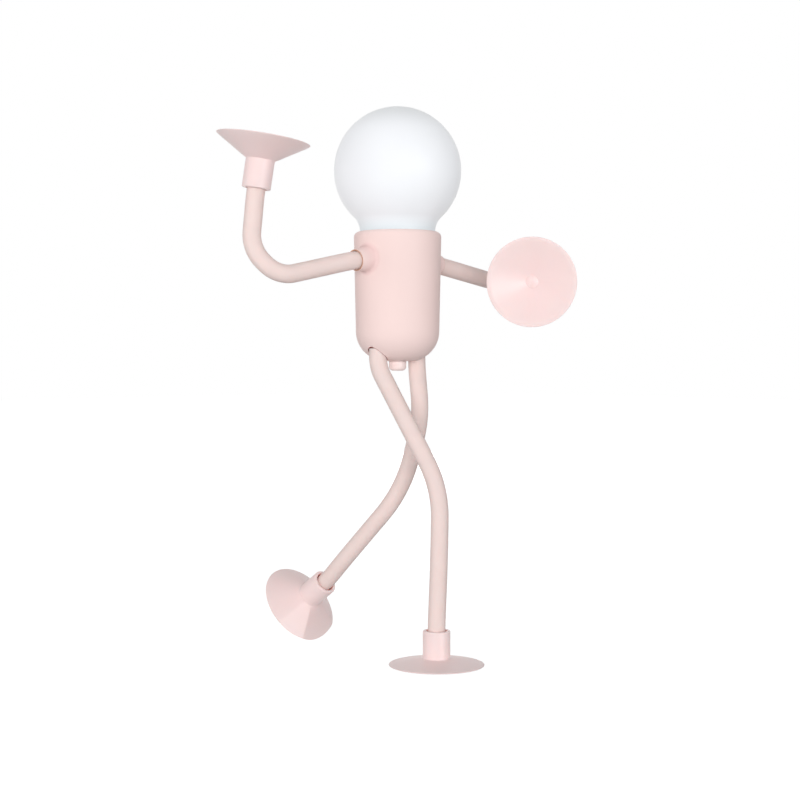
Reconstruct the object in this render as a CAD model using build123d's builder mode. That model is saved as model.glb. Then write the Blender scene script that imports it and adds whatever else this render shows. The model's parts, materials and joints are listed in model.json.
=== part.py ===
"""Night light in the shape of a standing figure.

A frosted globe sits in a rounded body that holds the cell, the light and the switch. Four bendable limbs,
each a wire in a soft sleeve, end in suction cups. The figure stands on the pressed cup of its left foot, and
the origin is the middle of that cup's face on the floor, with +Z up and the shoulders along X.
"""

import os
from math import cos, radians, sin, sqrt, tan

from build123d import *

os.makedirs("parts", exist_ok=True)

# Globe, in millimetres
globe_radius = 30.0
globe_wall = 1.6
neck_radius = 17.8
neck_round = 9.0
neck_reveal = 0.4
globe_fit = 0.1
seat_depth = 4.7

# Body shell
body_top_radius = 20.7
body_low_radius = 19.45
body_wall = 2.5
base_round = 14.2
lip_round = 2.6
cut_overrun = 1.0

# Shoulder bosses and the pads behind them
shoulder_reach = 27.4
shoulder_height = 46.5
shoulder_droop = 8
shoulder_grip = 11.0
boss_lip = 0.5
boss_flare = 9
boss_round = 1.6
pad_lip = 1.55

# Hip holes and the tubes behind them
hip_offset = 13.0
hip_grip = 9.5
hip_tube_wall = 1.6

# Limb sleeves, their wires and the balls that they bend on
sleeve_radius = 4.15
sleeve_fit = 0.3
wire_radius = 1.3
wire_fit = 0.1
wire_setback = 0.3
wire_tail = 1.2
retainer_thickness = 0.8
retainer_lip = 1.6
retainer_fit = 0.3
ball_step = 0.65
ball_gap = 0.2
stem_step = 0.7
widest_bend = 60
bend_gap = 0.3

# Limb routes: runs as shares of the limb's reach, with their headings and pitches in degrees
arm_reach = 80.0
leg_reach = 128.0
root_link = 13.0
elbow_share = 0.176
knee_share = 0.211
inner_bend_share = 0.48
end_bend_share = 0.9
arm_run_shares = (0.478, 0.219, 0.303)
left_leg_run_shares = (0.498, 0.245, 0.257)
right_leg_run_shares = (0.196, 0.302, 0.372, 0.13)
left_arm_bearings = ((166.3, -12.6), (139.5, 44.8), (-17, 84.3))
right_arm_bearings = ((-2.4, -9.7), (-68.7, -2.7), (-135.5, -1.6))
left_leg_bearings = ((-46, -62.8), (135, -89.3), (135, -87.8))
right_leg_bearings = ((21, -77.5), (83, -68.6), (108, -47.7), (98, -46.1))
left_arm_tip = (-45, 81.5)
right_arm_tip = (-140, -2.7)
left_leg_tip = (0, -90)
right_leg_tip = (95, -36.5)

# Suction cups: three relaxed, and the standing one pressed flat
collar_length = 13.0
collar_wall = 1.75
collar_round = 0.6
mouth_fit = 0.6
mouth_depth = 4.0
grip_fit = 0.05
socket_depth = 9.5
cup_edge = 0.9
cup_root_round = 1.6
hollow_flat = 3.0
cup_radius = 21.1
cup_height = 9.5
cup_hollow = 7.6
cup_lip = 1.3
pressed_radius = 22.5
pressed_height = 3.2
pressed_hollow = 0.8
pressed_lip = 6.0

# Screws
screw_radius = 1.0
screw_head_radius = 1.9
screw_head_height = 1.3
screw_length = 8.0
screw_fit = 0.05
screw_pass = 0.2

# Control board
board_fit = 2.55
board_thickness = 1.2
board_gap = 2.5
board_post_radius = 2.3
board_post_reach = 9.5
board_post_heading = 60
parts_headroom = 5.3
chip_length = 5.0
chip_width = 4.0
chip_height = 1.4
coil_side = 4.0
coil_height = 2.2
parts_reach = 8.0

# Cell, its holder and the ribs under it
cell_width = 25.0
cell_depth = 8.0
cell_height = 30.0
cell_fit = 0.2
cell_round = 1.5
holder_base = 1.6
holder_wall = 1.6
holder_fit = 0.4
cheek_width = 22.0
post_radius = 2.6
post_reach = 9.5
web_thickness = 2.0
rib_width = 2.4
rib_seat = 1.6
rib_heading = 45
rib_count = 4

# Light
stack_headroom = 0.27
carrier_thickness = 2.0
carrier_fit = 0.2
led_board_radius = 12.5
led_board_thickness = 1.0
led_count = 6
led_ring_radius = 6.2
led_length = 3.5
led_width = 2.8
led_height = 0.8

# Switch and button
switch_side = 6.0
switch_height = 3.6
plunger_radius = 1.7
plunger_fit = 0.15
plunger_grip = 1.4
button_travel = 1.0
travel_gap = 0.3
button_radius = 4.1
button_fit = 0.25
button_drop = 4.5
button_round = 1.2
flange_lip = 0.85
flange_thickness = 1.4
flange_gap = 0.1
button_stem_radius = 2.0

# Charging socket
usb_width = 8.94
usb_height = 3.26
usb_depth = 7.35
usb_wall = 0.3
usb_corner = 1.2
usb_back = 1.0
usb_slot_fit = 0.25
usb_recess = 1.0
tongue_width = 6.7
tongue_thickness = 0.7
tongue_length = 4.4

# Leads
lead_radius = 0.6
lead_fit = 0.2
cell_lead_offset = 3.0
led_lead_reach = 11.3
led_lead_headings = (-60, -45)

# Sizes that follow from those above
bore_radius = neck_radius + globe_fit
hole_radius = sleeve_radius + sleeve_fit
boss_radius = hole_radius + boss_lip
pad_radius = hole_radius + pad_lip
retainer_radius = wire_radius + retainer_lip
hip_tube_radius = hole_radius + hip_tube_wall
wire_bore = wire_radius + wire_fit
ball_radius = sleeve_radius - ball_step
pocket_radius = ball_radius + ball_gap
wire_lead = pocket_radius + wire_setback
stem_radius = ball_radius - stem_step
cutback = sleeve_radius * tan(radians(widest_bend / 2)) + bend_gap
mouth_radius = sleeve_radius + mouth_fit
grip_radius = sleeve_radius + grip_fit
collar_radius = mouth_radius + collar_wall

# Heights above the underside of the body
board_level = hip_grip + retainer_thickness + wire_tail + board_gap
board_top = board_level + board_thickness
holder_level = board_top + parts_headroom
cell_level = holder_level + holder_base
pad_top = shoulder_height + shoulder_grip * sin(radians(shoulder_droop)) + pad_radius
carrier_level = max(pad_top, cell_level + cell_height) + stack_headroom
carrier_top = carrier_level + carrier_thickness
led_level = carrier_top + led_board_thickness
body_height = carrier_top + seat_depth
switch_level = board_level - switch_height
stem_top = switch_level - button_travel - travel_gap


def cavity_radius(height):
    """The radius of the room inside the body, above its rounded bottom corner."""
    floor_radius = body_low_radius - body_wall
    return floor_radius + (bore_radius - floor_radius) * (height - body_wall) / (carrier_level - body_wall)


board_radius = body_low_radius - body_wall - board_fit
holder_radius = min(cavity_radius(holder_level), cavity_radius(cell_level)) - holder_fit


def bearing(heading, pitch):
    """The unit vector with a heading from +X and a pitch above the horizontal."""
    forward, sideways = cos(radians(heading)), sin(radians(heading))
    return Vector(forward * cos(radians(pitch)), sideways * cos(radians(pitch)), sin(radians(pitch)))


def route(start, reach, run_shares, bearings):
    """The corner points of a limb, from its root ball to its tip ball."""
    points = [start]
    for share, angles in zip(run_shares, bearings):
        points.append(points[-1] + bearing(*angles) * (reach * share))
    return points


def split_route(points, distance):
    """A route cut in two at a distance along it."""
    for index, (here, there) in enumerate(zip(points, points[1:])):
        run = (there - here).length
        if distance < run:
            cut = here + (there - here).normalized() * distance
            return points[: index + 1] + [cut], [cut] + points[index + 1 :]
        distance -= run
    raise ValueError("the limb is shorter than the distance to its joint")


def trimmed(points, lead, tail):
    """A route that starts and ends a little further in."""
    first = points[0] + (points[1] - points[0]).normalized() * lead
    last = points[-1] + (points[-2] - points[-1]).normalized() * tail
    return [first] + points[1:-1] + [last]


def bend_radii(points):
    """The largest radius for each corner: an end run lends most of its length, an inner run nearly half."""
    runs = [(there - here).length for here, there in zip(points, points[1:])]
    room = [run * inner_bend_share for run in runs]
    room[0] = runs[0] * end_bend_share
    room[-1] = runs[-1] * end_bend_share
    radii = []
    for corner in range(1, len(runs)):
        before = points[corner] - points[corner - 1]
        after = points[corner + 1] - points[corner]
        radii.append(min(room[corner - 1], room[corner]) / tan(radians(before.get_angle(after) / 2)))
    return radii


def draw_route(points, radii):
    """Straight runs joined by tangent arcs, or one straight run."""
    if radii:
        FilletPolyline(*points, radius=radii)
    else:
        Line(*points)


def save(builder, label):
    """Label a finished piece and write it to its own file."""
    builder.part.label = label
    export_step(builder.part, f"parts/{label}.step")


# The standing leg sets where the body is: from the pressed cup up to the hip
up = Vector(0, 0, 1)
ankle = up * (pressed_height + collar_length + cutback)
left_leg_fall = route(Vector(0, 0, 0), leg_reach, left_leg_run_shares, left_leg_bearings)[-1]
body_base = ankle - left_leg_fall + Vector(hip_offset, 0, cutback)
body_axis = Axis(body_base, up)
body_section = Plane(origin=body_base, x_dir=(1, 0, 0), z_dir=(0, -1, 0))


def level(height):
    """The horizontal plane at a height above the underside of the body."""
    return Plane(origin=body_base + up * height)


def around(reach, heading):
    """A place on a horizontal plane, by its distance and heading from the body's axis."""
    return (reach * cos(radians(heading)), reach * sin(radians(heading)))


def shoulder(side):
    """The middle of a boss's end and the way that it points, on side -1 or 1."""
    out = Vector(side * cos(radians(shoulder_droop)), 0, -sin(radians(shoulder_droop)))
    return body_base + Vector(side * shoulder_reach, 0, shoulder_height), out


def hip(side):
    """The middle of a hip hole at the body's underside and the way that it points."""
    return body_base + Vector(side * hip_offset, 0, 0), -up


# Each limb: where its root comes out, how deep the root is gripped, its route and its cup's bearing
limbs = {
    "left_arm": (shoulder(-1), shoulder_grip, arm_reach, arm_run_shares, left_arm_bearings, left_arm_tip),
    "right_arm": (shoulder(1), shoulder_grip, arm_reach, arm_run_shares, right_arm_bearings, right_arm_tip),
    "left_leg": (hip(-1), hip_grip, leg_reach, left_leg_run_shares, left_leg_bearings, left_leg_tip),
    "right_leg": (hip(1), hip_grip, leg_reach, right_leg_run_shares, right_leg_bearings, right_leg_tip),
}
board_posts = [around(board_post_reach, board_post_heading + half_turn) for half_turn in (0, 180)]
holder_posts = [(0, post_reach), (0, -post_reach)]
cell_lead_places = [(cell_lead_offset, 0), (-cell_lead_offset, 0)]
led_lead_places = [around(led_lead_reach, heading) for heading in led_lead_headings]
usb_level = board_top + usb_height / 2
usb_outer_radius = body_low_radius + (body_top_radius - body_low_radius) * usb_level / body_height
usb_face = usb_outer_radius - usb_recess

# The room inside the body, with its tubes, pads, posts and ribs left standing
with BuildPart() as cavity:
    with BuildSketch(body_section):
        with BuildLine():
            FilletPolyline(
                (0, body_wall),
                (body_low_radius - body_wall, body_wall),
                (bore_radius, carrier_level),
                (bore_radius, body_height + cut_overrun),
                (0, body_height + cut_overrun),
                radius=[0, base_round - body_wall, 0, 0, 0],
                close=True,
            )
        make_face()
    revolve(axis=body_axis)
    with BuildSketch(level(0)):
        with Locations((-hip_offset, 0), (hip_offset, 0)):
            Circle(hip_tube_radius)
    extrude(amount=hip_grip, mode=Mode.SUBTRACT)
    with BuildSketch(level(hip_grip)):
        with Locations((-hip_offset, 0), (hip_offset, 0)):
            Circle(retainer_radius + retainer_fit)
    extrude(amount=board_level - hip_grip)
    with BuildSketch(level(0)):
        with Locations(*board_posts):
            Circle(board_post_radius)
    extrude(amount=board_level, mode=Mode.SUBTRACT)
    with BuildSketch(level(0)):
        with PolarLocations(holder_radius - rib_seat + body_wall, rib_count, start_angle=rib_heading):
            Rectangle(2 * body_wall, rib_width)
    extrude(amount=holder_level, mode=Mode.SUBTRACT)
    for boss_end, out in (shoulder(-1), shoulder(1)):
        with BuildSketch(Plane(origin=boss_end - out * shoulder_grip, z_dir=out)):
            Circle(pad_radius)
        extrude(amount=shoulder_grip, mode=Mode.SUBTRACT)

# Body shell: one moulding, open at the top, with shoulder bosses, hip holes, button hole and socket slot
with BuildPart() as torso_shell:
    with BuildSketch(body_section):
        with BuildLine():
            FilletPolyline(
                (0, 0),
                (body_low_radius, 0),
                (body_top_radius, body_height),
                (0, body_height),
                radius=[0, base_round, lip_round, 0],
                close=True,
            )
        make_face()
    revolve(axis=body_axis)
    for boss_end, out in (shoulder(-1), shoulder(1)):
        with Locations(Plane(origin=boss_end - out * shoulder_grip, z_dir=out)):
            Cone(
                boss_radius + shoulder_grip * tan(radians(boss_flare)),
                boss_radius,
                shoulder_grip,
                align=(Align.CENTER, Align.CENTER, Align.MIN),
            )
        fillet(torso_shell.new_edges, radius=boss_round)
    add(cavity.part, mode=Mode.SUBTRACT)
    for boss_end, out in (shoulder(-1), shoulder(1)):
        with BuildSketch(Plane(origin=boss_end + out * cut_overrun, z_dir=-out)):
            Circle(hole_radius)
        extrude(amount=shoulder_grip + 2 * cut_overrun, mode=Mode.SUBTRACT)
    with BuildSketch(level(-cut_overrun)):
        with Locations((-hip_offset, 0), (hip_offset, 0)):
            Circle(hole_radius)
    extrude(amount=hip_grip + 2 * cut_overrun, mode=Mode.SUBTRACT)
    with BuildSketch(level(-cut_overrun)):
        Circle(button_radius + button_fit)
    extrude(amount=body_wall + 2 * cut_overrun, mode=Mode.SUBTRACT)
    with BuildSketch(level(board_level)):
        with Locations(*board_posts):
            Circle(screw_radius + screw_fit)
    extrude(amount=board_thickness - screw_length, mode=Mode.SUBTRACT)
    with BuildSketch(Plane(origin=body_base + up * usb_level, x_dir=(1, 0, 0), z_dir=(0, 1, 0))):
        RectangleRounded(
            usb_width + 2 * usb_slot_fit,
            usb_height + 2 * usb_slot_fit,
            usb_corner + usb_slot_fit,
        )
    extrude(amount=max(body_low_radius, body_top_radius) + cut_overrun, mode=Mode.SUBTRACT)
save(torso_shell, "torso_shell")


def globe_line(inset):
    """The globe's outline from the top of the ball to the skirt, moved in by a wall."""
    ball = globe_radius - inset
    throat = neck_radius - inset
    swell = neck_round + inset
    rise = sqrt((globe_radius + neck_round) ** 2 - (neck_radius + neck_round) ** 2)
    foot = body_height + neck_reveal
    centre = Vector(0, foot + rise)
    hub = Vector(neck_radius + neck_round, foot)
    joint = centre + (hub - centre).normalized() * ball
    crown = centre + Vector(0, ball)
    shoulder_point = centre + ((hub - centre).normalized() + Vector(0, 1)).normalized() * ball
    waist = Vector(throat, foot)
    waist_middle = hub + ((waist - hub).normalized() + (joint - hub).normalized()).normalized() * swell
    return crown, shoulder_point, joint, waist_middle, waist, Vector(throat, carrier_top)


# Frosted globe: ball, flared neck and the skirt that seats on the light carrier
with BuildPart() as bulb_globe:
    with BuildSketch(body_section):
        with BuildLine():
            outer = globe_line(0)
            inner = globe_line(globe_wall)
            for crown, shoulder_point, joint, waist_middle, waist, skirt in (outer, inner):
                ThreePointArc(crown, shoulder_point, joint)
                ThreePointArc(joint, waist_middle, waist)
                Line(waist, skirt)
            Line(outer[0], inner[0])
            Line(outer[-1], inner[-1])
        make_face()
    revolve(axis=body_axis)
save(bulb_globe, "bulb_globe")

# Light carrier: a disc across the neck, clamped under the globe's skirt
with BuildPart() as led_carrier:
    with BuildSketch(level(carrier_level)):
        Circle(bore_radius - carrier_fit)
        with Locations(*holder_posts):
            Circle(screw_radius + screw_pass, mode=Mode.SUBTRACT)
        with Locations(*led_lead_places):
            Circle(lead_radius + lead_fit, mode=Mode.SUBTRACT)
    extrude(amount=carrier_thickness)
save(led_carrier, "led_carrier")

with BuildPart() as led_board:
    with BuildSketch(level(carrier_top)):
        Circle(led_board_radius)
        with Locations(*holder_posts):
            Circle(screw_radius + screw_pass, mode=Mode.SUBTRACT)
    extrude(amount=led_board_thickness)
save(led_board, "led_board")

with BuildPart() as led_packages:
    with BuildSketch(level(led_level)):
        Rectangle(led_length, led_width)
        with PolarLocations(led_ring_radius, led_count):
            Rectangle(led_length, led_width)
    extrude(amount=led_height)
save(led_packages, "led_packages")


def screws(label, places, head_level):
    """Pan-head screws that point down, with the heads' undersides at one level."""
    with BuildPart() as screw_set:
        with BuildSketch(level(head_level)):
            with Locations(*places):
                Circle(screw_head_radius)
        extrude(amount=screw_head_height)
        with BuildSketch(level(head_level)):
            with Locations(*places):
                Circle(screw_radius)
        extrude(amount=-screw_length)
    save(screw_set, label)


screws("carrier_screws", holder_posts, led_level)
screws("board_screws", board_posts, board_top)

# Cell holder: a base on the body's ribs, two cheeks and two posts that carry the light carrier
with BuildPart() as battery_holder:
    with BuildSketch(level(holder_level)):
        Circle(holder_radius)
        with Locations(*cell_lead_places, *led_lead_places):
            Circle(lead_radius + lead_fit, mode=Mode.SUBTRACT)
    extrude(amount=holder_base)
    cheek_offset = cell_depth / 2 + cell_fit + holder_wall / 2
    with BuildSketch(level(cell_level)):
        with Locations((0, cheek_offset), (0, -cheek_offset)):
            Rectangle(cheek_width, holder_wall)
        with Locations(*holder_posts):
            Circle(post_radius)
        web_offset = (cheek_offset + post_reach) / 2
        with Locations((0, web_offset), (0, -web_offset)):
            Rectangle(web_thickness, post_reach - cheek_offset)
    extrude(amount=carrier_level - cell_level)
    with BuildSketch(level(carrier_level)):
        with Locations(*holder_posts):
            Circle(screw_radius + screw_fit)
    extrude(amount=carrier_thickness + led_board_thickness - screw_length, mode=Mode.SUBTRACT)
save(battery_holder, "battery_holder")

with BuildPart() as battery_cell:
    with BuildSketch(level(cell_level)):
        RectangleRounded(cell_width, cell_depth, cell_round)
    extrude(amount=cell_height)
save(battery_cell, "battery_cell")

# Control board on two posts of the body, with its parts on top and the switch below
with BuildPart() as control_board:
    with BuildSketch(level(board_level)):
        Circle(board_radius)
        with Locations(*board_posts):
            Circle(screw_radius + screw_pass, mode=Mode.SUBTRACT)
    extrude(amount=board_thickness)
save(control_board, "control_board")

with BuildPart() as board_components:
    with BuildSketch(level(board_top)):
        with Locations((-parts_reach, 0)):
            Rectangle(chip_width, chip_length)
    extrude(amount=chip_height)
    with BuildSketch(level(board_top)):
        with Locations((parts_reach, 0)):
            Rectangle(coil_side, coil_side)
    extrude(amount=coil_height)
save(board_components, "board_components")

# Charging socket at the back edge of the board, facing +Y through the slot in the shell
socket_mouth = body_base + Vector(0, usb_face, usb_level)
socket_plane = Plane(origin=socket_mouth, x_dir=(1, 0, 0), z_dir=(0, 1, 0))
with BuildPart() as usb_socket:
    with BuildSketch(socket_plane):
        RectangleRounded(usb_width, usb_height, usb_corner)
    extrude(amount=-usb_depth)
    with BuildSketch(socket_plane):
        RectangleRounded(usb_width - 2 * usb_wall, usb_height - 2 * usb_wall, usb_corner - usb_wall)
    extrude(amount=usb_back - usb_depth, mode=Mode.SUBTRACT)
    with BuildSketch(socket_plane.offset(usb_back - usb_depth)):
        Rectangle(tongue_width, tongue_thickness)
    extrude(amount=tongue_length)
save(usb_socket, "usb_socket")

with BuildPart() as tact_switch:
    with BuildSketch(level(switch_level)):
        Rectangle(switch_side, switch_side)
    extrude(amount=switch_height)
    with BuildSketch(level(switch_level)):
        Circle(plunger_radius + plunger_fit)
    extrude(amount=plunger_grip + button_travel + travel_gap, mode=Mode.SUBTRACT)
save(tact_switch, "tact_switch")

with BuildPart() as switch_plunger:
    with BuildSketch(level(stem_top)):
        Circle(plunger_radius)
    extrude(amount=switch_level + plunger_grip - stem_top)
save(switch_plunger, "switch_plunger")

# Push button: a cap below the body, a flange that holds it in and a stem up to the switch
with BuildPart() as push_button:
    flange_level = body_wall + flange_gap
    with BuildSketch(level(-button_drop)):
        Circle(button_radius)
    extrude(amount=button_drop + flange_level)
    fillet(push_button.edges().sort_by(Axis.Z)[0], radius=button_round)
    with BuildSketch(level(flange_level)):
        Circle(button_radius + button_fit + flange_lip)
    extrude(amount=flange_thickness)
    with BuildSketch(level(flange_level + flange_thickness)):
        Circle(button_stem_radius)
    extrude(amount=stem_top - flange_level - flange_thickness)
save(push_button, "push_button")


def leads(label, places, low, high):
    """Insulated leads that run straight up between two heights."""
    with BuildPart() as lead_set:
        with BuildSketch(level(low)):
            with Locations(*places):
                Circle(lead_radius)
        extrude(amount=high - low)
    save(lead_set, label)


leads("battery_leads", cell_lead_places, board_top, cell_level)
leads("led_leads", led_lead_places, board_top, carrier_top)

# Push-on washers that hold each limb's wire inside the body
with BuildPart() as wire_retainers:
    for (root_end, out), grip, *_ in limbs.values():
        with BuildSketch(Plane(origin=root_end - out * grip, z_dir=-out)):
            Circle(retainer_radius)
            Circle(wire_bore, mode=Mode.SUBTRACT)
        extrude(amount=retainer_thickness)
save(wire_retainers, "wire_retainers")


def root_sleeve(label, root_end, out, grip):
    """The sleeve's end in the body: a gripped tube, a stem and the ball that the limb turns on."""
    with BuildPart() as sleeve:
        with BuildSketch(Plane(origin=root_end, z_dir=-out)):
            Circle(sleeve_radius)
        extrude(amount=grip)
        with BuildSketch(Plane(origin=root_end, z_dir=out)):
            Circle(stem_radius)
        extrude(amount=cutback)
        with Locations(Plane(origin=root_end + out * cutback, z_dir=out)):
            Sphere(ball_radius)
        with BuildSketch(Plane(origin=root_end + out * cutback, z_dir=-out)):
            Circle(wire_bore)
        extrude(amount=cutback + grip, mode=Mode.SUBTRACT)
    save(sleeve, label)


def root_wire(label, root_end, out, grip):
    """The wire's end in the body, from past its washer to the root ball."""
    with BuildPart() as wire:
        with BuildSketch(Plane(origin=root_end + out * (cutback - wire_setback), z_dir=-out)):
            Circle(wire_radius)
        extrude(amount=cutback - wire_setback + grip + retainer_thickness + wire_tail)
    save(wire, label)


def link_sleeve(label, points, radii):
    """A stretch of sleeve with a pocket at its near end and a ball at its far end."""
    start, end = points[0], points[-1]
    last = points[-2]
    tube = trimmed(points, cutback, cutback)
    bore = trimmed(points, cutback, 0)
    with BuildPart() as sleeve:
        with BuildLine():
            draw_route(tube, radii)
        with BuildSketch(Plane(origin=tube[0], z_dir=tube[1] - tube[0])):
            Circle(sleeve_radius)
        sweep()
        with BuildSketch(Plane(origin=tube[-1], z_dir=end - last)):
            Circle(stem_radius)
        extrude(amount=cutback)
        with Locations(Plane(origin=end, z_dir=end - last)):
            Sphere(ball_radius)
        with Locations(Plane(origin=start, z_dir=tube[1] - tube[0])):
            Sphere(pocket_radius, mode=Mode.SUBTRACT)
        with BuildLine():
            draw_route(bore, radii)
        with BuildSketch(Plane(origin=bore[0], z_dir=bore[1] - bore[0])):
            Circle(wire_bore)
        sweep(mode=Mode.SUBTRACT)
    save(sleeve, label)


def link_wire(label, points, radii):
    """The wire inside a stretch of sleeve, clear of both balls' centres."""
    core = trimmed(points, wire_lead, wire_setback)
    with BuildPart() as wire:
        with BuildLine():
            draw_route(core, radii)
        with BuildSketch(Plane(origin=core[0], z_dir=core[1] - core[0])):
            Circle(wire_radius)
        sweep()
    save(wire, label)


def tip_sleeve(label, ball, out):
    """The sleeve's end inside a collar, with the pocket for the limb's last ball."""
    with BuildPart() as sleeve:
        with BuildSketch(Plane(origin=ball + out * cutback, z_dir=out)):
            Circle(sleeve_radius)
        extrude(amount=socket_depth)
        with Locations(Plane(origin=ball, z_dir=out)):
            Sphere(pocket_radius, mode=Mode.SUBTRACT)
    save(sleeve, label)


def suction_cup(label, mouth, out, radius, height, hollow, lip):
    """A cup and its collar as one soft moulding, turned about the limb's last run."""
    face = mouth + out * (collar_length + height)
    across = Plane(origin=face, z_dir=out).x_dir
    section = Plane(origin=face, x_dir=across, z_dir=across.cross(-out))
    top = collar_length + height
    with BuildPart() as cup:
        with BuildSketch(section):
            with BuildLine():
                FilletPolyline(
                    (radius - lip, 0),
                    (radius, 0),
                    (radius, cup_edge),
                    (collar_radius, height),
                    (collar_radius, top),
                    (mouth_radius, top),
                    (mouth_radius, top - mouth_depth),
                    (grip_radius, top - mouth_depth),
                    (grip_radius, top - socket_depth),
                    (0, top - socket_depth),
                    (0, hollow),
                    (hollow_flat, hollow),
                    radius=[0, 0, 0, cup_root_round, collar_round, 0, 0, 0, 0, 0, 0, 0],
                    close=True,
                )
            make_face()
        revolve(axis=Axis(face, out))
    save(cup, label)


for limb, ((root_end, out), grip, reach, run_shares, bearings, tip_bearing) in limbs.items():
    points = route(root_end + out * cutback, reach, run_shares, bearings)
    middle_share = elbow_share if run_shares is arm_run_shares else knee_share
    first, rest = split_route(points, root_link)
    second, third = split_route(rest, (reach - root_link) * middle_share)
    root_sleeve(f"{limb}_root_sleeve", root_end, out, grip)
    root_wire(f"{limb}_root_wire", root_end, out, grip)
    for order, link in (("first", first), ("second", second), ("third", third)):
        radii = bend_radii(trimmed(link, max(cutback, wire_lead), cutback))
        link_sleeve(f"{limb}_{order}_sleeve", link, radii)
        link_wire(f"{limb}_{order}_wire", link, radii)
    tip = bearing(*tip_bearing)
    mouth = points[-1] + tip * cutback
    tip_sleeve(f"{limb}_tip_sleeve", points[-1], tip)
    if limb == "left_leg":
        suction_cup(f"{limb}_cup", mouth, tip, pressed_radius, pressed_height, pressed_hollow, pressed_lip)
    else:
        suction_cup(f"{limb}_cup", mouth, tip, cup_radius, cup_height, cup_hollow, cup_lip)
        face_centre = mouth + tip * (collar_length + cup_height)
        print(limb, "lowest rim point", face_centre.Z - cup_radius * sqrt(1 - tip.Z**2))
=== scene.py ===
import json
from math import atan2, ceil, cos, degrees, radians, sin, sqrt, tan

import bpy
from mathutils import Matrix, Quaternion, Vector


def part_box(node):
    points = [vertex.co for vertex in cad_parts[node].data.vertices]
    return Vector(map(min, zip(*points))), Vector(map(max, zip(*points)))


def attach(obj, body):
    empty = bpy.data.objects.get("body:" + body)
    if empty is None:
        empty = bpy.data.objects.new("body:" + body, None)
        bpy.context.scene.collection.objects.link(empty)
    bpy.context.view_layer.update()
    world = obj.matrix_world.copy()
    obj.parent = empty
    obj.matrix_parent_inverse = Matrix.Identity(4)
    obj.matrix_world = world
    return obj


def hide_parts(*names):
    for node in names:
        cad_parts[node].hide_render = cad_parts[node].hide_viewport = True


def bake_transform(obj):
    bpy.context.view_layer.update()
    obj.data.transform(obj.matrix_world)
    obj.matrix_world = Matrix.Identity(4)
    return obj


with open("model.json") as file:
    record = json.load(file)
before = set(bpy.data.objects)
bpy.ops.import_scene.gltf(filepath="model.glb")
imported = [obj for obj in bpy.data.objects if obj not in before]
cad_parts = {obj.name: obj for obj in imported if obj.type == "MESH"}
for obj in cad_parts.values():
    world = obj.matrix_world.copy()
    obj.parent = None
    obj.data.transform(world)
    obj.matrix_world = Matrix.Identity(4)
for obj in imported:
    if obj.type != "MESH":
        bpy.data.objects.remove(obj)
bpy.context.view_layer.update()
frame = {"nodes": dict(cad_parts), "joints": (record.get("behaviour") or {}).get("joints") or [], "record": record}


# Body shell: one pale pink moulding with the fine matt skin of a textured mould. It is open at the top for
# the globe, and the arms leave it through two short bosses. The copy of the solid only joins and smooths
# its facets.
class Tone:
    """A socket in a finish's node tree. Sums and products with numbers or other tones add Math nodes."""

    def __init__(self, tree, socket=None):
        self.tree = tree
        self.socket = socket

    def feed(self, node, inputs):
        """Link tones to a node's sockets, and set plain values on them."""
        for name, value in inputs.items():
            if isinstance(value, Tone):
                self.tree.links.new(value.socket, node.inputs[name])
            else:
                node.inputs[name].default_value = value

    def node(self, kind, settings=None, inputs=None, output=0):
        """Add a node, set it up, feed its sockets and return one of its outputs."""
        made = self.tree.nodes.new(kind)
        for name, value in (settings or {}).items():
            setattr(made, name, value)
        self.feed(made, inputs or {})
        return Tone(self.tree, made.outputs[output])

    def maths(self, operation, first, second):
        """A Math node on two tones or numbers."""
        return self.node("ShaderNodeMath", {"operation": operation}, {0: first, 1: second})

    def __add__(self, other):
        return self.maths("ADD", self, other)

    def __sub__(self, other):
        return self.maths("SUBTRACT", self, other)

    def __rsub__(self, other):
        return self.maths("SUBTRACT", other, self)

    def __mul__(self, other):
        return self.maths("MULTIPLY", self, other)

    __radd__ = __add__
    __rmul__ = __mul__

    def vectors(self, operation, other=(0, 0, 0), output=0):
        """Vector maths on this tone and another vector."""
        return self.node("ShaderNodeVectorMath", {"operation": operation}, {0: self, 1: other}, output)

    def fade(self, one_at, zero_at):
        """A mask that goes smoothly from 1 at one value of this tone to 0 at another."""
        limits = {"Value": self, "From Min": one_at, "From Max": zero_at, "To Min": 1.0, "To Max": 0.0}
        return self.node("ShaderNodeMapRange", {"interpolation_type": "SMOOTHSTEP"}, limits)


def begin_finish(name):
    """A new material, its shader and the object's own coordinates."""
    material = bpy.data.materials.new(name)
    material.use_nodes = True
    tree = material.node_tree
    place = Tone(tree).node("ShaderNodeTexCoord", output="Object")
    return material, tree.nodes["Principled BSDF"], place


def noise(place, size, detail=2.0):
    """Soft noise from 0 to 1 with features of about one size, in metres."""
    return place.node("ShaderNodeTexNoise", inputs={"Vector": place, "Scale": 1 / size, "Detail": detail})


def blend_colours(share, first, second):
    """A colour between two, by a tone from 0 to 1."""
    return share.node("ShaderNodeMix", {"data_type": "RGBA"}, {0: share, 6: first, 7: second}, output=2)


noise_middle = 0.5
drift_detail = 3.0
drift_gloss = 0.08
grain_gloss = 0.12
grain_strength = 0.6
scatter_reach = (0.004, 0.0022, 0.0018)


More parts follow.
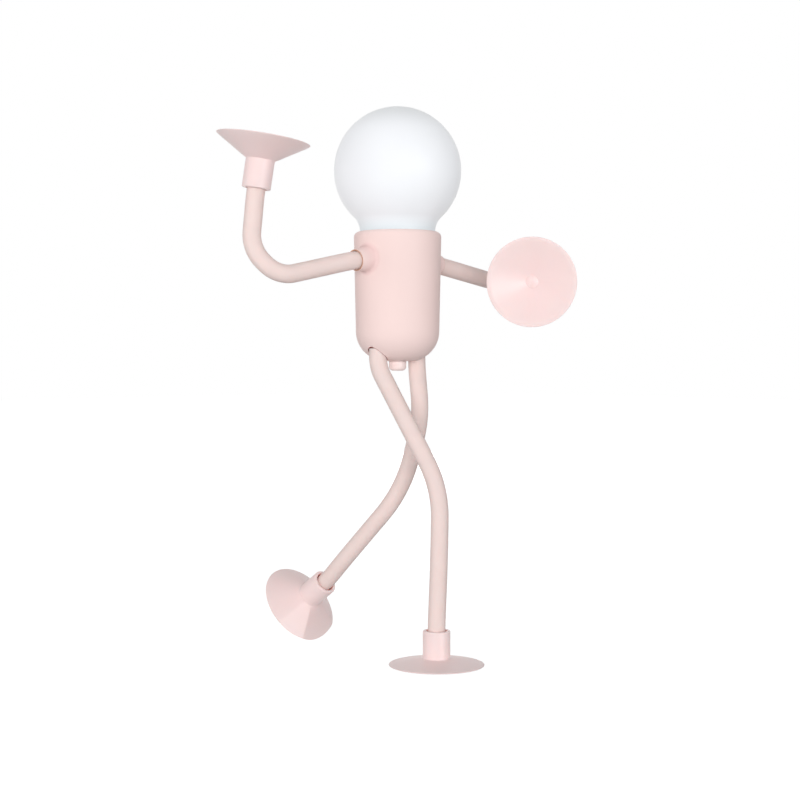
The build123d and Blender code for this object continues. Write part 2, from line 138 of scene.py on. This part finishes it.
def moulded(
    name, colour, deeper, roughness, grain_size, grain_depth, patch_size, shine=0.5, subsurface=0.0, painted_shades=()
):
    """A moulded skin: slow drift between two close colours, a fine grain, and gloss that follows both.

    Painted shades are pairs of a function that gives a mask from a place, and the colour of painted shade that
    shows there.
    """
    material, shader, place = begin_finish(name)
    drift = noise(place, patch_size, drift_detail)
    tint = blend_colours(drift, (*colour, 1), (*deeper, 1))
    # Each painted shade lays its darker colour over the skin where its mask is.
    for mask, shade_colour in painted_shades:
        tint = blend_colours(mask(place), tint, (*shade_colour, 1))
    grain = noise(place, grain_size)
    bump = place.node(
        "ShaderNodeBump", inputs={"Strength": grain_strength, "Distance": grain_depth, "Height": grain}
    )
    gloss_change = grain_gloss * (grain - noise_middle) + drift_gloss * (drift - noise_middle)
    place.feed(
        shader,
        {
            "Base Color": tint,
            "Roughness": roughness + gloss_change,
            "Normal": bump,
            "Specular IOR Level": shine,
            "Subsurface Weight": subsurface,
            "Subsurface Radius": scatter_reach,
            "Subsurface Scale": 1.0,
        },
    )
    return material


merge_gap = 0.000004
facet_angle = radians(32)


def select_only(piece):
    """Leave one object selected and active."""
    bpy.ops.object.select_all(action="DESELECT")
    piece.select_set(True)
    bpy.context.view_layer.objects.active = piece


def smoothed_copy(node, name):
    """A copy of a solid with its facets joined and its shallow edges shaded smooth."""
    piece = frame["nodes"][node].copy()
    piece.data = piece.data.copy()
    piece.name = name
    for key in list(piece.keys()):
        del piece[key]
    piece.parent = None
    bpy.context.scene.collection.objects.link(piece)
    select_only(piece)
    bpy.ops.object.mode_set(mode="EDIT")
    bpy.ops.mesh.select_all(action="SELECT")
    bpy.ops.mesh.remove_doubles(threshold=merge_gap)
    bpy.ops.object.mode_set(mode="OBJECT")
    bpy.ops.object.shade_smooth_by_angle(angle=facet_angle)
    return piece


def dress(piece, material):
    """Give a piece one finish all over."""
    piece.data.materials.clear()
    piece.data.materials.append(material)


joints = {joint["name"]: joint for joint in frame["joints"]}
tip_low, tip_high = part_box("left_leg_tip_sleeve")
joint_setback = joints["left_ankle_tilt"]["pos_m"][2] - tip_high.z
down = Vector((0, 0, -1))
shoulder_droop = 8
hole_radius = 0.00445
boss_radius = hole_radius + 0.0005
# Painted shade: orange-brown on each boss's lip, where the gap to the sleeve lies in shade.
lip_painted_shade = (0.6, 0.33, 0.23)
# Painted shade: dark red on each leg hole's wall, where the gap to the sleeve lies in shade.
hole_painted_shade = (0.5, 0.16, 0.14)
# Painted shade: deeper pink in the crease round each boss's root.
crease_painted_shade = (0.87, 0.64, 0.62)
# Where the painted shades fade: pairs of distances from a hole's axis, or along it outwards from its mouth or
# joint
ring_core = (0.0, 0.001)
past_end = (0.0005, 0.001)
lip_edge = (boss_radius - 0.0001, boss_radius + 0.0001)
lip_depth = (-0.0002, -0.0005)
crease_inner = (0.0048, 0.0062)
crease_outer = (0.0064, 0.0082)
crease_depth = (-0.012, -0.014)
wall_edge = (hole_radius + 0.0001, hole_radius + 0.0002)
wall_depth = (-0.012, -0.013)
wall_ahead = (0.006, 0.007)


def bearing(heading, pitch):
    """The unit vector with a heading from +X and a pitch above the horizontal, in degrees."""
    turn, rise = radians(heading), radians(pitch)
    return Vector((cos(rise) * cos(turn), cos(rise) * sin(turn), sin(rise)))


def ring_mask(end, out, inside, outside, depth, ahead=past_end):
    """A mask for a ring about an axis: it fades by radius on both sides, and along the axis both ways."""

    def mask(place):
        offset = place.vectors("SUBTRACT", end)
        along = offset.vectors("DOT_PRODUCT", out, "Value")
        reach = offset.vectors("CROSS_PRODUCT", out).vectors("LENGTH", output="Value")
        ring = reach.fade(*outside) * (1.0 - reach.fade(*inside))
        return ring * along.fade(*depth) * along.fade(*ahead)

    return mask


def boss_shade_marks(heading, joint):
    """Painted shade for a boss: orange-brown on the lip round its hole, deeper pink in the crease at its root."""
    out = bearing(heading, -shoulder_droop)
    end = Vector(joints[joint]["pos_m"]) - out * joint_setback
    lip = ring_mask(end, out, ring_core, lip_edge, lip_depth)
    crease_shade_mask = ring_mask(end, out, crease_inner, crease_outer, crease_depth)
    return (lip, lip_painted_shade), (crease_shade_mask, crease_painted_shade)


def hole_shade_mark(joint):
    """A painted shade on the wall of a leg hole: dark red where the gap between hole and sleeve lies in shade."""
    end = Vector(joints[joint]["pos_m"])
    return ring_mask(end, down, ring_core, wall_edge, wall_depth, wall_ahead), hole_painted_shade


shell_skin = moulded(
    "shell_skin",
    colour=(0.925, 0.73, 0.7),
    deeper=(0.905, 0.705, 0.675),
    roughness=0.52,
    grain_size=0.0003,
    grain_depth=0.00004,
    patch_size=0.03,
    shine=0.2,
    # Painted shade on the shell: the bosses' lips and root creases, and the leg holes' walls.
    painted_shades=(
        *boss_shade_marks(180, "left_shoulder_lift"),
        *boss_shade_marks(0, "right_shoulder_lift"),
        hole_shade_mark("left_hip_swing"),
        hole_shade_mark("right_hip_swing"),
    ),
)
shell = smoothed_copy("torso_shell", "body_shell")
dress(shell, shell_skin)
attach(shell, "torso")
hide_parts("torso_shell")


# Frosted globe: a blown ball on a flared neck, satin white, pushed into the body and seated on the light's
# carrier. It is turned from its outline as rings, outside and inside, so that its wall is real.
globe_low, globe_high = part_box("bulb_globe")
globe_radius = 0.030
neck_radius = 0.0178
neck_round = 0.009
globe_wall = 0.0016
globe_sides = 96
globe_smooth = radians(40)
crown_turn = 89
ball_steps = 60
neck_steps = 14
globe_axis = ((globe_low + globe_high) / 2).to_2d()
ball_height = globe_high.z - globe_radius
swell = sqrt((globe_radius + neck_round) ** 2 - (neck_radius + neck_round) ** 2)
neck_height = ball_height - swell


def turned(name, outline, sides):
    """Rings of one outline of (radius, height) pairs, drawn out of a circle one after the other about Z."""
    bpy.ops.object.select_all(action="DESELECT")
    radius, height = outline[0]
    bpy.ops.mesh.primitive_circle_add(
        vertices=sides, radius=radius, fill_type="TRIFAN", location=(0, 0, height), align="WORLD"
    )
    piece = bpy.context.object
    piece.name = name
    bpy.ops.object.transform_apply(location=True, rotation=True, scale=True)
    bpy.ops.object.mode_set(mode="EDIT")
    bpy.ops.mesh.select_all(action="SELECT")
    bpy.ops.mesh.region_to_loop()
    for next_radius, next_height in outline[1:]:
        bpy.ops.mesh.extrude_region_move(TRANSFORM_OT_translate={"value": (0, 0, next_height - height)})
        grow = next_radius / radius
        bpy.ops.transform.resize(value=(grow, grow, 1), center_override=(0, 0, next_height))
        radius, height = next_radius, next_height
    bpy.ops.mesh.edge_face_add()
    bpy.ops.mesh.poke()
    bpy.ops.mesh.select_all(action="SELECT")
    bpy.ops.mesh.normals_make_consistent(inside=False)
    bpy.ops.object.mode_set(mode="OBJECT")
    return piece


def arc(centre, radius, start, end, steps):
    """Points along an arc in an outline, by angles in degrees from the outline's first direction."""
    turns = [radians(start + (end - start) * step / steps) for step in range(steps + 1)]
    return [(centre[0] + radius * cos(turn), centre[1] + radius * sin(turn)) for turn in turns]


def globe_outline(inset):
    """Half of the globe's section from its crown to the end of its skirt, moved in by a wall."""
    hub = Vector((neck_radius + neck_round, neck_height - ball_height))
    waist_turn = degrees(atan2(hub.y, hub.x))
    ball = arc((0, ball_height), globe_radius - inset, crown_turn, waist_turn, ball_steps)
    neck = arc((hub.x, neck_height), neck_round + inset, waist_turn + 180, 180, neck_steps)
    return ball + neck[1:] + [(neck_radius - inset, globe_low.z)]


globe = turned("frosted_globe", globe_outline(0) + globe_outline(globe_wall)[::-1], globe_sides)
globe.location = (*globe_axis, 0)
bpy.ops.object.transform_apply(location=True, rotation=False, scale=False)
bpy.ops.object.shade_smooth_by_angle(angle=globe_smooth)

frost_pale = (0.74, 0.753, 0.78, 1)
frost_deep = (0.725, 0.74, 0.77, 1)
# Painted shade: the crown is greyer where less light falls from above.
crown_painted_shade = (0.62, 0.64, 0.655, 1)
crown_start = ball_height + 0.55 * globe_radius
# Painted shade: the neck is darker and bluer where the body's rim shades it.
neck_painted_shade = (0.48, 0.56, 0.59, 1)
neck_fade = (neck_height - 0.004, neck_height + 0.008)
cloud_size = 0.018
cloud_gloss = 0.06
etch_size = 0.00018
etch_depth = 0.00002
etch_strength = 0.5
etch_gloss = 0.08
frost_roughness = 0.42
frost_shine = 0.3
# Painted light: a faint glow that stands in for the light coming through the frosted wall.
painted_glow_colour = (0.97, 0.985, 1.0, 1.0)
painted_glow_strength = 0.205


def frosted(name):
    """Satin white, slightly cloudy, with a fine etched grain, a faint painted glow, and painted shade at crown and
    neck.
    """
    material, shader, place = begin_finish(name)
    cloud = noise(place, cloud_size, drift_detail)
    etch = noise(place, etch_size)
    height = place.node("ShaderNodeSeparateXYZ", inputs={"Vector": place}, output="Z")
    tint = blend_colours(cloud, frost_pale, frost_deep)
    # Painted shade at the crown and at the neck.
    tint = blend_colours(height.fade(globe_high.z, crown_start), tint, crown_painted_shade)
    tint = blend_colours(height.fade(*neck_fade), tint, neck_painted_shade)
    bump = place.node(
        "ShaderNodeBump", inputs={"Strength": etch_strength, "Distance": etch_depth, "Height": etch}
    )
    gloss_change = cloud_gloss * (cloud - noise_middle) + etch_gloss * (etch - noise_middle)
    place.feed(
        shader,
        {
            "Base Color": tint,
            "Roughness": frost_roughness + gloss_change,
            "Normal": bump,
            "Specular IOR Level": frost_shine,
            "Emission Color": painted_glow_colour,
            "Emission Strength": painted_glow_strength,
        },
    )
    return material


dress(globe, frosted("frosted_white"))
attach(globe, "torso")
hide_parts("bulb_globe")


# Limb sleeves: one soft silicone tube on each limb, from its hole in the body to its cup's collar. Each is
# drawn from a disc along the limb's runs and bends, in stretches that each take in one of its joints.
mounts = {mount["name"]: mount for mount in frame["record"]["mounts"]}
sleeve_radius = (tip_high.x - tip_low.x) / 2
sleeve_sides = 40
sleeve_smooth = radians(40)
ring_gap = 0.0009
grip_length = 0.006
end_bend = 0.005
bend_share = 0.45
hinge_clear = 0.0008
wrist_ease = 0.006
arm_reach = 0.080
leg_reach = 0.128
root_link = 0.013
arm_shares = (0.478, 0.219, 0.303)
# Each limb: joints, reach, the middle joint's share of the way on from the root link, root bearing,
# run shares, run bearings and cup mount
limbs = {
    "left_arm": (
        ("left_shoulder_lift", "left_shoulder_swing", "left_elbow_bend", "left_wrist_tilt"),
        arm_reach, 0.176, (180, -shoulder_droop), arm_shares,
        ((166.3, -12.6), (139.5, 44.8), (-17, 84.3)), "left_hand_cup",
    ),
    "right_arm": (
        ("right_shoulder_lift", "right_shoulder_swing", "right_elbow_bend", "right_wrist_tilt"),
        arm_reach, 0.176, (0, -shoulder_droop), arm_shares,
        ((-2.4, -9.7), (-68.7, -2.7), (-135.5, -1.6)), "right_hand_cup",
    ),
    "left_leg": (
        ("left_hip_swing", "left_hip_spread", "left_knee_bend", "left_ankle_tilt"),
        leg_reach, 0.211, (0, -90), (0.498, 0.245, 0.257),
        ((-46, -62.8), (135, -89.3), (135, -87.8)), "standing_foot",
    ),
    "right_leg": (
        ("right_hip_swing", "right_hip_spread", "right_knee_bend", "right_ankle_tilt"),
        leg_reach, 0.211, (0, -90), (0.196, 0.302, 0.372, 0.13),
        ((21, -77.5), (83, -68.6), (108, -47.7), (98, -46.1)), "right_foot_cup",
    ),
}


def sleeve_moves(points):
    """The moves along a limb: (length, turn, axis), with straight runs and arcs that touch them."""
    runs = [there - here for here, there in zip(points, points[1:])]
    moves = []
    used = 0.0
    for corner, (before, after) in enumerate(zip(runs, runs[1:])):
        at_end = corner in (0, len(runs) - 2)
        lead = end_bend if at_end else bend_share * min(before.length, after.length)
        turn = before.angle(after)
        moves.append((before.length - used - lead, 0.0, None))
        moves.append((turn * lead / tan(turn / 2), turn, before.cross(after).normalized()))
        used = lead
    moves.append((runs[-1].length - used, 0.0, None))
    return moves


def cut_moves(moves, distance):
    """The moves before and after a distance along them."""
    head = []
    for index, (length, turn, axis) in enumerate(moves):
        if distance < length:
            share = distance / length
            head.append((distance, turn * share, axis))
            return head, [(length - distance, turn * (1 - share), axis)] + moves[index + 1 :]
        head.append((length, turn, axis))
        distance -= length
    return head, []


def draw_sleeve(name, place, way, moves):
    """Draw a disc along the moves, and return the tube with the place and the direction where it ends."""
    bpy.ops.object.select_all(action="DESELECT")
    bpy.ops.mesh.primitive_circle_add(
        vertices=sleeve_sides,
        radius=sleeve_radius,
        fill_type="NGON",
        location=place,
        rotation=way.to_track_quat("Z", "Y").to_euler(),
        align="WORLD",
    )
    piece = bpy.context.object
    piece.name = name
    bpy.ops.object.transform_apply(location=True, rotation=True, scale=True)
    bpy.ops.object.mode_set(mode="EDIT")
    bpy.ops.mesh.select_all(action="SELECT")
    for length, turn, axis in moves:
        steps = max(1, ceil(length / ring_gap))
        if turn == 0.0:
            for _ in range(steps):
                bpy.ops.mesh.extrude_region_move(TRANSFORM_OT_translate={"value": way * (length / steps)})
            place = place + way * length
        else:
            centre = place + axis.cross(way) * (length / turn)
            bpy.ops.mesh.spin(steps=steps, angle=-turn, center=centre, axis=axis)
            swing = Quaternion(axis, turn)
            place = centre + swing @ (place - centre)
            way = swing @ way
    bpy.ops.mesh.select_all(action="SELECT")
    bpy.ops.mesh.normals_make_consistent(inside=False)
    bpy.ops.object.mode_set(mode="OBJECT")
    bpy.ops.object.shade_smooth_by_angle(angle=sleeve_smooth)
    return piece, place, way


sleeve_skin = moulded(
    "sleeve_skin",
    colour=(0.87, 0.715, 0.683),
    deeper=(0.845, 0.69, 0.653),
    roughness=0.6,
    grain_size=0.00025,
    grain_depth=0.00003,
    patch_size=0.012,
    shine=0.12,
    subsurface=0.1,
)
lead_in = joint_setback + grip_length
for limb, (hinges, reach, middle_share, root, shares, bearings, cup_mount) in limbs.items():
    pivots = [Vector(joints[hinge]["pos_m"]) for hinge in hinges]
    root_way = bearing(*root)
    tip_way = Vector(mounts[cup_mount]["axis"])
    start = pivots[0] - root_way * lead_in
    corners = [pivots[0]]
    for share, run_bearing in zip(shares, bearings):
        corners.append(corners[-1] + bearing(*run_bearing) * (reach * share))
    points = [start] + corners + [pivots[3] + tip_way * lead_in]
    # Two cuts lie halfway between joints, the third as far beyond the middle joint as the second before it
    middle = root_link + (reach - root_link) * middle_share
    cuts = [root_link / 2, (root_link + middle) / 2]
    cuts.append(2 * middle - cuts[1])
    before = [joint_setback, root_link - cuts[0], middle - cuts[1], wrist_ease]
    after = [cuts[0], cuts[1] - root_link, cuts[2] - middle, joint_setback]
    moves = sleeve_moves(points)
    place, way = start, root_way
    drawn = 0.0
    stood_for = [
        (f"{limb}_root_sleeve", f"{limb}_first_sleeve"),
        (f"{limb}_second_sleeve",),
        (f"{limb}_third_sleeve",),
        (f"{limb}_tip_sleeve",),
    ]
    ways = [(root_way, bearing(*bearings[0])), None, None, (bearing(*bearings[-1]), tip_way)]
    for index, pivot in enumerate(pivots):
        if index < len(cuts):
            head, moves = cut_moves(moves, lead_in + cuts[index] - drawn)
            drawn = lead_in + cuts[index]
        else:
            head = moves
        first_way = way
        piece, place, way = draw_sleeve(f"{limb}_sleeve_{index + 1}", place, way, head)
        near_way, far_way = ways[index] or (first_way, way)
        dress(piece, sleeve_skin)
        pivot + far_way * max(after[index] - hinge_clear, joint_setback)
        pivot - near_way * max(before[index] - hinge_clear, joint_setback)
        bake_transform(piece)
        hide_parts(*stood_for[index])


# Suction cups: soft silicone mouldings, each a thin cone with a collar that the sleeve is pushed into. The
# standing cup is pressed flat on the floor, and the other three are relaxed. The raised foot's has two folds.
collar_radius = 0.0065
collar_length = 0.013
collar_round = 0.0006
mouth_radius = sleeve_radius + 0.0006
mouth_depth = 0.004
mouth_chamfer = 0.0003
socket_radius = sleeve_radius + 0.00005
socket_depth = 0.0095
rim_thickness = 0.0004
rim_turn = 60
root_round = 0.0005
flat_radius = 0.003
pip_height = 0.0007
hollow_pole = 0.0003
socket_pole = 0.0004
pip_steps = 8
cone_steps = 14
round_steps = 6
collar_steps = 5
cup_sides = 112
cup_smooth = radians(35)
# A cup's radius, its cone's height, its hollow's depth and the width of its flat lip
relaxed = (0.0211, 0.0095, 0.0076, 0.0013)
pressed = (0.0225, 0.0032, 0.0008, 0.0060)
# Each fold of the raised foot's cup: its turn from the lowest side and half its width, in degrees, and the
# share of the way to a flat that it is pressed
folds = ((-10, 36, 0.75), (46, 18, 0.95))
fold_ease = 0.003
# Painted shade: red-brown in the mouth of each cup's collar, where the gap to the sleeve lies in shade.
mouth_painted_shade = (0.92, 0.44, 0.37)
mouth_edge = (mouth_radius + 0.0001, mouth_radius + 0.0003)
shade_depth = (-0.006, -0.007)


def cup_shape(limb):
    """The sizes of a limb's cup."""
    return pressed if limb == "left_leg" else relaxed


def cup_outline(radius, height, hollow, lip):
    """Half of a cup's section, from its hollow's middle round its rim and collar to its socket's floor."""
    edge = rim_thickness / 2
    middle = radius - edge
    root = collar_radius + root_round
    inner_run = radius - lip - flat_radius
    slope = (height - rim_thickness) / (radius - collar_radius)
    outline = [(hollow_pole, hollow - pip_height)]
    for step in range(1, pip_steps + 1):
        share = step / pip_steps
        outline.append((flat_radius * share, hollow - pip_height * (1 - share * share)))
    for step in range(1, cone_steps + 1):
        share = step / cone_steps
        outline.append((flat_radius + inner_run * share, hollow * (1 - share)))
    outline += arc((middle, edge), edge, -90, rim_turn, round_steps)
    for step in range(1, cone_steps):
        across = middle + (root - middle) * (step / cone_steps)
        outline.append((across, rim_thickness + (radius - across) * slope))
    foot = rim_thickness + (radius - root) * slope
    outline += arc((root, foot + root_round), root_round, -90, -180, round_steps)[1:]
    top = height + collar_length
    outline += arc((collar_radius - collar_round, top - collar_round), collar_round, 0, 90, collar_steps)
    outline += [(mouth_radius + mouth_chamfer, top), (mouth_radius, top - mouth_chamfer)]
    outline += [(mouth_radius, top - mouth_depth), (socket_radius, top - mouth_depth)]
    outline += [(socket_radius, top - socket_depth), (socket_pole, top - socket_depth)]
    return outline


def press_flat(cup, lean, half_width, depth_share, radius, height):
    """Press one side of a cup's cone part of the way to a flat, as the soft skirt keeps a fold."""
    apex = Vector((0, 0, height + collar_radius * height / (radius - collar_radius)))
    chord = lean * (radius * cos(radians(half_width)))
    across = (chord - apex).normalized()
    outward = lean - across * lean.dot(across)
    outward.normalize()
    for vertex in cup.data.vertices:
        spread = vertex.co.to_2d().length - collar_radius
        proud = (vertex.co - apex).dot(outward)
        if proud > 0 and spread > 0 and vertex.co.z < height:
            vertex.co -= outward * (proud * depth_share * min(1.0, spread / fold_ease))


def mouth_shade_mark(limb):
    """A painted shade in the mouth of a cup's collar: red-brown where the gap between collar and sleeve lies in
    shade.
    """
    mount = mounts[limbs[limb][-1]]
    height = cup_shape(limb)[1]
    out = -Vector(mount["axis"])
    end = Vector(mount["pos_m"]) + out * (height + collar_length)
    return ring_mask(end, out, ring_core, mouth_edge, shade_depth), mouth_painted_shade


cup_skin = moulded(
    "cup_skin",
    colour=(0.92, 0.728, 0.715),
    deeper=(0.9, 0.703, 0.69),
    roughness=0.38,
    grain_size=0.0005,
    grain_depth=0.00003,
    patch_size=0.015,
    shine=0.65,
    subsurface=0.15,
    # Painted shade in the mouth of each cup's collar.
    painted_shades=[mouth_shade_mark(limb) for limb in limbs],
)
for limb, details in limbs.items():
    mount = mounts[details[-1]]
    cup = turned(f"{limb}_suction_cup", cup_outline(*cup_shape(limb)), cup_sides)
    axis = Vector(mount["axis"])
    upright = (-axis).to_track_quat("Z", "Y")
    if limb == "right_leg":
        toe = axis.cross(down.cross(axis)).normalized()
        for turn, half_width, depth_share in folds:
            lean = upright.inverted() @ (Quaternion(axis, radians(turn)) @ toe)
            press_flat(cup, lean, half_width, depth_share, *relaxed[:2])
    cup.rotation_mode = "QUATERNION"
    cup.rotation_quaternion = upright
    cup.location = mount["pos_m"]
    bpy.ops.object.transform_apply(location=True, rotation=True, scale=True)
    bpy.ops.object.shade_smooth_by_angle(angle=cup_smooth)
    dress(cup, cup_skin)
    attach(cup, f"{limb}_tip")
    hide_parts(f"{limb}_cup")


# Push button: a satin pink cap under the body that a finger presses up, turned with its flange and stem. The
# flange holds it inside the body, and the plunger of the switch above it moves with it.
button_low, button_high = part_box("push_button")
body_low, body_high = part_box("torso_shell")
button_radius = 0.0041
button_round = 0.002
button_pole = 0.0003
button_flat = 0.0012
button_crown = 0.00002
button_turn = -88
button_steps = 10
button_sides = 64
button_smooth = radians(35)
flange_radius = 0.0052
flange_level = body_low.z + 0.0026
flange_thickness = 0.0014
stem_radius = 0.002
round_centre = (button_radius - button_round, button_low.z + button_round)
button_outline = [(button_pole, button_low.z), (button_flat, button_low.z + button_crown)]
button_outline += arc(round_centre, button_round, button_turn, 0, button_steps)
button_outline += [(button_radius, flange_level), (flange_radius, flange_level)]
button_outline += [(radius, flange_level + flange_thickness) for radius in (flange_radius, stem_radius)]
button_outline += [(radius, button_high.z) for radius in (stem_radius, button_pole)]
button_skin = moulded(
    "button_skin",
    colour=(0.95, 0.8, 0.775),
    deeper=(0.93, 0.775, 0.75),
    roughness=0.4,
    grain_size=0.0004,
    grain_depth=0.00002,
    patch_size=0.01,
)
button = turned("button_cap", button_outline, button_sides)
button.location = (*((button_low + button_high) / 2).to_2d(), 0)
bpy.ops.object.transform_apply(location=True, rotation=False, scale=False)
bpy.ops.object.shade_smooth_by_angle(angle=button_smooth)
dress(button, button_skin)
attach(button, "button")
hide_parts("push_button")


# Inner parts: the light, the cell and the boards inside the body, the screws that hold them, the soft wire in
# each limb and the washer on its inner end. They are plain mouldings, coated boards, foil, and drawn or
# plated metal.
streak_size = 0.0003
streak_detail = 4.0
streak_gloss = 0.15
streak_shade = 0.82
inner_shade = 0.88
inner_grain_size = 0.0004
inner_grain_depth = 0.00002
inner_patch_size = 0.006


def brushed(name, colour, roughness, streak):
    """Bright metal with fine streaks along Z."""
    material, shader, place = begin_finish(name)
    stretched = place.node("ShaderNodeMapping", inputs={"Vector": place, "Scale": (1.0, 1.0, streak)})
    lines = noise(stretched, streak_size, streak_detail)
    deeper = (streak_shade * part for part in colour)
    place.feed(
        shader,
        {
            "Base Color": blend_colours(lines, (*colour, 1), (*deeper, 1)),
            "Metallic": 1.0,
            "Roughness": roughness + streak_gloss * (lines - noise_middle),
        },
    )
    return material


def moulded_inner(name, colour, roughness):
    """A plain inner moulding or coated board."""
    deeper = tuple(inner_shade * part for part in colour)
    return moulded(name, colour, deeper, roughness, inner_grain_size, inner_grain_depth, inner_patch_size)


inner_finishes = {
    "white_moulding": moulded_inner("inner_white", (0.82, 0.82, 0.8), 0.5),
    "light_board": moulded_inner("light_board_white", (0.86, 0.86, 0.86), 0.35),
    "lights": moulded_inner("phosphor_yellow", (0.9, 0.72, 0.2), 0.25),
    "steel": brushed("zinc_plate", (0.62, 0.62, 0.6), 0.35, 0.2),
    "socket_steel": brushed("socket_shell", (0.7, 0.7, 0.71), 0.28, 0.1),
    "wire": brushed("drawn_wire", (0.72, 0.72, 0.74), 0.4, 0.05),
    "cell": brushed("pouch_foil", (0.66, 0.67, 0.7), 0.38, 0.3),
    "circuit_board": moulded_inner("solder_mask_green", (0.02, 0.16, 0.06), 0.35),
    "chips": moulded_inner("chip_black", (0.02, 0.02, 0.022), 0.5),
    "switch": moulded_inner("switch_black", (0.025, 0.025, 0.027), 0.45),
    "leads": moulded_inner("lead_red", (0.5, 0.02, 0.015), 0.4),
}
for entry in frame["record"]["subparts"]:
    finish = inner_finishes.get(entry["material_slot"])
    if finish:
        dress(frame["nodes"][entry["node"]], finish)


# Stage: a white floor without an edge, even light from all round, a broad soft lamp behind the camera, weaker
# ones on the left and behind the figure, and one on the right that shows only in gloss. The camera is level
# with the underside of the body, halfway round from the figure's front to the side of its left arm.
body_place = (body_low + body_high) / 2
camera_heading = radians(-135)
camera_distance = 0.72
camera_height = 0.1445
focal_pixels = 1520
frame_pixels = 800
horizon_pixel = 357
body_pixel = 397.6
out_to_camera = Vector((cos(camera_heading), sin(camera_heading), 0))
to_right = Vector((-out_to_camera.y, out_to_camera.x, 0))

camera_data = bpy.data.cameras.new("camera")
camera_data.sensor_width = 36
camera_data.lens = camera_data.sensor_width * focal_pixels / frame_pixels
camera = bpy.data.objects.new("camera", camera_data)
bpy.context.scene.collection.objects.link(camera)
camera.location = Vector((body_place.x, body_place.y, camera_height)) + out_to_camera * camera_distance
sight = -out_to_camera * focal_pixels
sight += to_right * (frame_pixels / 2 - body_pixel)
sight.z -= frame_pixels / 2 - horizon_pixel
camera.rotation_euler = sight.to_track_quat("-Z", "Y").to_euler()
bpy.context.scene.camera = camera


def soft_lamp(name, place, target, width, height, power, shines):
    """A soft box that faces a point. It either lights the object or only shines in its gloss."""
    lamp_data = bpy.data.lights.new(name, "AREA")
    lamp_data.shape = "RECTANGLE"
    lamp_data.size = width
    lamp_data.size_y = height
    lamp_data.energy = power
    lamp = bpy.data.objects.new(name, lamp_data)
    lamp.location = place
    lamp.visible_glossy = shines
    lamp.visible_diffuse = not shines
    lamp.rotation_euler = (target - place).to_track_quat("-Z", "Y").to_euler()
    bpy.context.scene.collection.objects.link(lamp)


lamp_distance = 1.6
# Each lamp: its heading to the right of the camera, rise above the body's middle, width, height, power, and
# whether it only shines
for name, heading, rise, width, height, power, shines in (
    ("key_lamp", 2, 0.08, 1.5, 0.46, 18.3, False),
    ("left_fill", -82, 0.08, 1.0, 0.46, 3.8, False),
    ("back_fill", 180, 0.08, 1.0, 0.46, 11.5, False),
    ("gleam", 45, 0.05, 0.8, 0.9, 11.0, True),
):
    away = out_to_camera * cos(radians(heading)) + to_right * sin(radians(heading))
    lamp_place = body_place + away * lamp_distance + Vector((0, 0, rise))
    soft_lamp(name, lamp_place, body_place, width, height, power, shines)


def background_rays(tree):
    """A mask of the rays that see the white background: from the camera, through glass and off gloss."""
    kinds = ("Is Camera Ray", "Is Transmission Ray", "Is Glossy Ray")
    straight, through, mirrored = (Tone(tree).node("ShaderNodeLightPath", output=kind) for kind in kinds)
    return straight + through + mirrored


white = (1, 1, 1, 1)
ambient = 0.39
world = bpy.data.worlds.new("studio")
bpy.context.scene.world = world
world.use_nodes = True
rays = background_rays(world.node_tree)
around = world.node_tree.nodes["Background"]
rays.feed(around, {"Color": white, "Strength": rays * (1 - ambient) + ambient})

floor_size = 8
floor_drop = 0.0002
floor_grey = (0.58, 0.58, 0.58, 1)
shadow_grey = (0.35, 0.35, 0.35, 1)
floor_glow = 0.88
bpy.ops.object.select_all(action="DESELECT")
bpy.ops.mesh.primitive_plane_add(size=floor_size, location=(0, 0, -floor_drop))
floor = bpy.context.object
floor.name = "floor"
bpy.ops.object.transform_apply(location=True, rotation=True, scale=True)
floor_paint = bpy.data.materials.new("floor_paint")
floor_paint.use_nodes = True
paint_tree = floor_paint.node_tree
paint_tree.nodes.remove(paint_tree.nodes["Principled BSDF"])
seen = background_rays(paint_tree)
matt = seen.node("ShaderNodeBsdfDiffuse", inputs={"Color": floor_grey})
faint = seen.node("ShaderNodeBsdfDiffuse", inputs={"Color": shadow_grey})
glow = seen.node("ShaderNodeEmission", inputs={"Color": white, "Strength": floor_glow})
pale = seen.node("ShaderNodeAddShader", inputs={0: faint, 1: glow})
shown = seen.node("ShaderNodeMixShader", inputs={0: seen, 1: matt, 2: pale})
shown.feed(paint_tree.nodes["Material Output"], {"Surface": shown})
dress(floor, floor_paint)

bpy.context.scene.view_settings.view_transform = "Standard"
